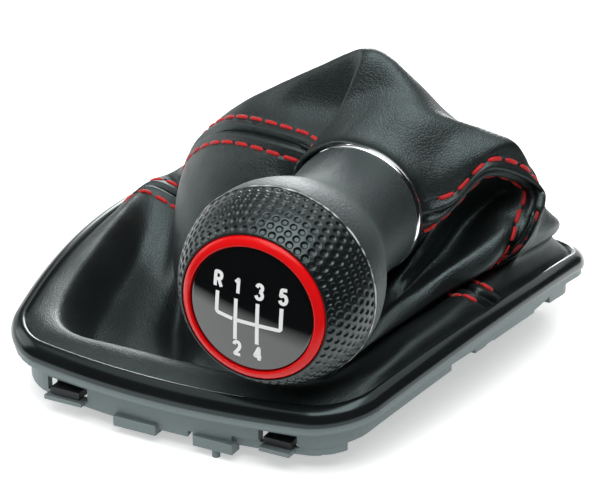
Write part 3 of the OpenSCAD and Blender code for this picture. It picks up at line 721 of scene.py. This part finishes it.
def seamDistance(points, places, seam):  # signed distance over the leather from a seam, for every point
    start = int(np.argmin(abs(places - seam)))
    step = np.linalg.norm(np.diff(points, axis=0), axis=2)
    run = np.concatenate([np.zeros((1, step.shape[1])), np.cumsum(step, 0)], 0)
    return run - run[start]


seams = {"groove": 0.9, "grooveWidth": 0.75, "puff": 0.45, "puffPlace": 1.9, "puffWidth": 1.1,
         "rowOffset": 4.4, "rowDent": 0.28, "rowDentWidth": 0.55, "firstRow": 1.4, "lastRow": 10.4,
         "stitch": 5.1, "pitch": 5.7, "start": 0.4, "thread": 0.64, "arch": 0.22, "dip": 0.35}
creases = {"size": 11.0, "height": 0.16, "fineSize": 3.4, "fineHeight": 0.03}


def smoothStep(value, low, high):
    share = np.clip((value - low) / (high - low), 0, 1)
    return share * share * (3 - 2 * share)


def window(value, stops):  # rises over the first two stops, falls over the last two
    return smoothStep(value, stops[0], stops[1]) * (1 - smoothStep(value, stops[2], stops[3]))


def workedLeather():
    places = columnPlaces()
    rowPlaces = np.arange((len(gaiter["net"]) + 3) * gaiter["rowSteps"] + 1) / gaiter["rowSteps"]
    points = leatherSurface(places, rowPlaces)
    for pocket in gaiter["pockets"]:  # the leather falls steeply behind the strip along the bead
        sink = window(places, pocket["columns"])[:, None] * window(rowPlaces, pocket["rows"])[None, :]
        points = points + sink[..., None] * np.array(pocket["push"])
    normals = surfaceNormals(points)
    right = seamDistance(points, places, gaiter["rightSeam"])
    right = np.where(places[:, None] > columnCount / 2, right - right[-1], right)
    left = seamDistance(points, places, gaiter["leftSeam"])
    lift = np.zeros(right.shape)
    for away in (right, left):
        lift -= seams["groove"] * np.exp(-(away / seams["grooveWidth"]) ** 2)
        lift += seams["puff"] * np.exp(-((abs(away) - seams["puffPlace"]) / seams["puffWidth"]) ** 2)
        lift -= seams["rowDent"] * np.exp(-((abs(away) - seams["rowOffset"]) / seams["rowDentWidth"]) ** 2)
    rough = np.array([noise.fractal(Vector(p) / creases["size"], 1.0, 2.0, 3) for p in points.reshape(-1, 3)])
    fine = np.array([noise.noise(Vector(p) / creases["fineSize"]) for p in points.reshape(-1, 3)])
    lift += (rough * creases["height"] + fine * creases["fineHeight"]).reshape(lift.shape)
    hemFade, cuffFade = gaiter["fadeRows"]
    held = np.clip(rowPlaces / hemFade, 0, 1) * np.clip((rowPlaces[-1] - rowPlaces) / cuffFade, 0, 1)
    lift *= held[None, :]
    return places, rowPlaces, points + normals * lift[..., None], normals, right, left


def leatherPanel(name, node, first, last, places, points):
    pick = (places >= first - 1e-6) & (places <= last + 1e-6)
    part = points[pick]
    rows, cols = part.shape[:2]
    mesh = meshFrom(name, part.reshape(-1, 3) * mm, gridFaces(rows, cols, flip=True))
    piece = addObject(name, mesh, leatherSkin)
    shell = piece.modifiers.new("thickness", "SOLIDIFY")
    shell.thickness = gaiter["thick"] * mm
    shell.offset = -1
    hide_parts(node)
    return piece


def stitchRow(name, path, normals):
    gaps = np.linalg.norm(np.diff(path, axis=0), axis=1)
    run = np.concatenate([[0], np.cumsum(gaps)])
    points = []
    faces = []
    sides = 8
    rings = 9
    for k in range(int(run[-1] / seams["pitch"])):
        start = k * seams["pitch"] + seams["start"]
        along = start + seams["stitch"] * np.linspace(0, 1, rings)
        line = np.column_stack([np.interp(along, run, path[:, c]) for c in range(3)])
        face = np.column_stack([np.interp(along, run, normals[:, c]) for c in range(3)])
        share = np.linspace(-1, 1, rings)
        line = line + face * (seams["arch"] * (1 - share ** 2) - seams["dip"] * share ** 8)[:, None]
        ahead = np.gradient(line, axis=0)
        ahead /= np.linalg.norm(ahead, axis=1)[:, None]
        side = np.cross(ahead, face)
        side /= np.linalg.norm(side, axis=1)[:, None]
        width = seams["thread"] * np.sqrt(np.clip(1 - share ** 6, 0.02, 1))
        base = len(points)
        for i in range(rings):
            for s in range(sides):
                angle = 2 * math.pi * s / sides
                out = side[i] * math.cos(angle) + face[i] * math.sin(angle) * 0.8
                points.append((line[i] + out * width[i]) * mm)
        faces += [tuple(base + k for k in f) for f in gridFaces(rings, sides, closeCols=True)]
        faces.append(tuple(base + s for s in range(sides))[::-1])
        faces.append(tuple(base + (rings - 1) * sides + s for s in range(sides)))
    piece = addObject(name, meshFrom(name, points, faces), redThread)
    return piece


def seamRow(name, points, normals, away, offset, rowPlaces):
    path = []
    face = []
    for j in range(len(rowPlaces)):
        if rowPlaces[j] < seams["firstRow"] or rowPlaces[j] > seams["lastRow"]:
            continue
        column = away[:, j]
        inside = np.where(abs(column) < abs(offset) * 3)[0]
        order = inside[np.argsort(column[inside])]
        path.append([np.interp(offset, column[order], points[order, j, c]) for c in range(3)])
        face.append([np.interp(offset, column[order], normals[order, j, c]) for c in range(3)])
    return stitchRow(name, np.array(path), np.array(face))


places, rowPlaces, leatherPoints, leatherNormals, fromRight, fromLeft = workedLeather()
rearPanel = leatherPanel("gaiterRearPanel", "gaiter_rear", 0, gaiter["leftSeam"], places, leatherPoints)
frontPanel = leatherPanel("gaiterFrontPanel", "gaiter_front", gaiter["leftSeam"], columnCount,
                          places, leatherPoints)
print("leather built")
for name, away, side in (("stitchesLeftFar", fromLeft, -1), ("stitchesLeftNear", fromLeft, 1),
                         ("stitchesRightFar", fromRight, 1), ("stitchesRightNear", fromRight, -1)):
    seamRow(name, leatherPoints, leatherNormals, away, side * seams["rowOffset"], rowPlaces)
print("stitches sewn")


# Finishes of the pieces that stay as the solids are

for name, material in (("carrier_frame", satinPlastic), ("hem_retainer", innerPlastic),
                       ("gaiter_collar", innerPlastic), ("knob_core", innerPlastic),
                       ("lever_bush", bushPlastic), ("lever_clamp", clampSteel)):
    mesh = nodes[name].data
    mesh.materials.clear()
    mesh.materials.append(material)
print("solids dressed")


# Floor, light and camera

studio = {"floorRadius": 0.28, "floorMiddle": (-0.082, 0.098, 0.0), "floorFade": (0.255, 0.277),
          "floorColour": (0.92, 0.93, 0.93), "floorGlow": 0.45, "surround": (0.99, 1.0, 1.0),
          "surroundLight": 0.5, "target": (-12.2, 32.4, 15.7), "azimuth": 27.69, "elevation": 23.47,
          "distance": 665.0, "lens": 132.69}


def backdropRays(tree):  # 1 where the camera, a mirror image or a clear piece looks at the backdrop
    path = tree.nodes.new("ShaderNodeLightPath")
    seen = path.outputs["Is Camera Ray"]
    for ray in ("Is Glossy Ray", "Is Transmission Ray"):
        either = tree.nodes.new("ShaderNodeMath")
        either.operation = "MAXIMUM"
        tree.links.new(seen, either.inputs[0])
        tree.links.new(path.outputs[ray], either.inputs[1])
        seen = either.outputs[0]
    return seen


def buildFloor(spec):
    bpy.ops.mesh.primitive_circle_add(vertices=128, radius=spec["floorRadius"], fill_type="NGON",
                                      location=spec["floorMiddle"])
    floor = bpy.context.object
    floor.name = "paleFloor"
    material, tree, shader = newMaterial("paleFloor", {"Roughness": 0.9, "Specular IOR Level": 0.1,
                                                       "Base Color": (*spec["floorColour"], 1),
                                                       "Emission Color": (*spec["surround"], 1)})
    away = tree.nodes.new("ShaderNodeVectorMath")
    away.operation = "LENGTH"
    tree.links.new(objectCoords(tree), away.inputs[0])
    # The sheet melts into the surround
    fade = rangeNode(tree, away.outputs["Value"], *spec["floorFade"], 1.0, 0.0)
    tree.links.new(fade, shader.inputs["Alpha"])
    glow = rangeNode(tree, backdropRays(tree), 0.0, 1.0, 0.0, spec["floorGlow"])
    tree.links.new(glow, shader.inputs["Emission Strength"])
    floor.data.materials.append(material)


def buildWorld(spec):
    world = bpy.data.worlds.new("paleSurround")
    bpy.context.scene.world = world
    world.use_nodes = True
    tree = world.node_tree
    back = tree.nodes["Background"]
    back.inputs["Color"].default_value = (*spec["surround"], 1)
    level = rangeNode(tree, backdropRays(tree), 0.0, 1.0, spec["surroundLight"], 1.0)
    tree.links.new(level, back.inputs["Strength"])


# Cloths that only mirror images show: dark on the camera's side and low at the right, dim behind the table
cloths = [
    {"name": "frontCloth", "turn": (-100, 120), "rise": (-35, 44), "reach": 1.15,
     "colour": (0.012, 0.013, 0.014)},
    {"name": "backCloth", "turn": (164, 262), "rise": (17, 56), "reach": 1.2, "colour": (0.20, 0.21, 0.21)},
    {"name": "rightCloth", "turn": (118, 144), "rise": (-35, 16), "reach": 1.17,
     "colour": (0.02, 0.021, 0.021)}]


def buildCloths(cloths, facing):
    rows = 12
    cols = 24
    for cloth in cloths:
        points = []
        for up in np.radians(np.linspace(*cloth["rise"], rows + 1)):
            for turn in np.radians(np.linspace(*cloth["turn"], cols + 1) + facing):
                way = Vector((math.sin(turn) * math.cos(up), -math.cos(turn) * math.cos(up), math.sin(up)))
                points.append(way * cloth["reach"])
        look = {"Roughness": 1.0, "Specular IOR Level": 0.0, "Base Color": (*cloth["colour"], 1)}
        material = newMaterial(cloth["name"], look)[0]
        mesh = meshFrom(cloth["name"], points, gridFaces(rows + 1, cols + 1))
        sheet = addObject(cloth["name"], mesh, material, body=None)
        sheet.visible_camera = False
        sheet.visible_diffuse = False
        sheet.visible_shadow = False


softboxes = [
    {"name": "topBox", "place": (0.20, -0.34, 0.92), "size": (0.8, 0.8), "power": 8.0},
    {"name": "backBox", "place": (-0.306, 0.856, 0.367), "size": (0.45, 0.45), "power": 6.0},
    {"name": "sideBox", "place": (-0.90, -0.13, 0.42), "size": (0.5, 0.5), "power": 1.5}]


def buildLights(boxes):
    for box in boxes:
        light = bpy.data.lights.new(box["name"], "AREA")
        light.shape = "RECTANGLE"
        light.size, light.size_y = box["size"]
        light.energy = box["power"]
        lamp = bpy.data.objects.new(box["name"], light)
        bpy.context.scene.collection.objects.link(lamp)
        lamp.location = box["place"]
        aim = Vector((0.0, 0.0, 0.03)) - Vector(box["place"])
        lamp.rotation_euler = aim.to_track_quat("-Z", "Y").to_euler()


def buildCamera(spec):
    azimuth = math.radians(spec["azimuth"])
    elevation = math.radians(spec["elevation"])
    back = Vector((math.sin(azimuth) * math.cos(elevation), -math.cos(azimuth) * math.cos(elevation),
                   math.sin(elevation)))
    data = bpy.data.cameras.new("photoCamera")
    data.lens = spec["lens"]
    data.sensor_width = 36.0
    data.clip_start = 0.01
    camera = bpy.data.objects.new("photoCamera", data)
    bpy.context.scene.collection.objects.link(camera)
    camera.location = (Vector(spec["target"]) + back * spec["distance"]) * mm
    camera.rotation_euler = (-back).to_track_quat("-Z", "Y").to_euler()
    bpy.context.scene.camera = camera


buildFloor(studio)
buildWorld(studio)
buildCloths(cloths, studio["azimuth"])
buildLights(softboxes)
buildCamera(studio)
bpy.context.scene.view_settings.view_transform = "Standard"
print("studio set")
